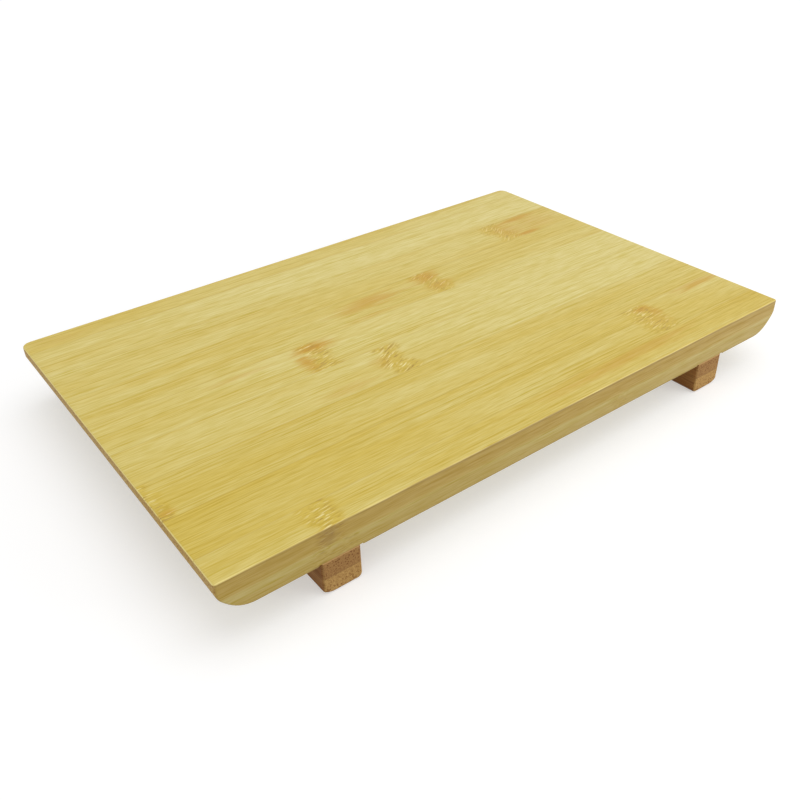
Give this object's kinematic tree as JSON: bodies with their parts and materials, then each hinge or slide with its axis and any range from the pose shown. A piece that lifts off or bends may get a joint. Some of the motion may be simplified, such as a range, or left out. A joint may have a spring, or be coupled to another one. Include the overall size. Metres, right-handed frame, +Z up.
{
  "type": "sushi serving board",
  "caption": "Flat bamboo serving board of glued strips on low cross feet, with ends that curve in underneath for lifting, for serving sushi at the table.",
  "frame": {"origin": "on the floor, under the middle of the board", "axes": "+X along the board's length, -Y its front long side, +Z up out of the serving face"},
  "size_m": [0.27, 0.175, 0.0275],
  "materials": {
    "natural_bamboo": "sanded satin",
    "carbonised_bamboo": "sanded satin"
  },
  "bodies": {
    "root": {"top_strip_1": "natural_bamboo", "top_strip_2": "natural_bamboo", "top_strip_3": "natural_bamboo", "top_strip_4": "natural_bamboo", "top_strip_5": "natural_bamboo", "top_strip_6": "natural_bamboo", "top_strip_7": "natural_bamboo", "top_strip_8": "natural_bamboo", "top_strip_9": "natural_bamboo", "bottom_strip_1": "natural_bamboo", "bottom_strip_2": "natural_bamboo", "bottom_strip_3": "natural_bamboo", "bottom_strip_4": "natural_bamboo", "bottom_strip_5": "natural_bamboo", "bottom_strip_6": "natural_bamboo", "bottom_strip_7": "natural_bamboo", "bottom_strip_8": "natural_bamboo", "bottom_strip_9": "natural_bamboo", "left_foot_upper": "carbonised_bamboo", "left_foot_lower": "carbonised_bamboo", "right_foot_upper": "carbonised_bamboo", "right_foot_lower": "carbonised_bamboo"}
  },
  "joints": []
}
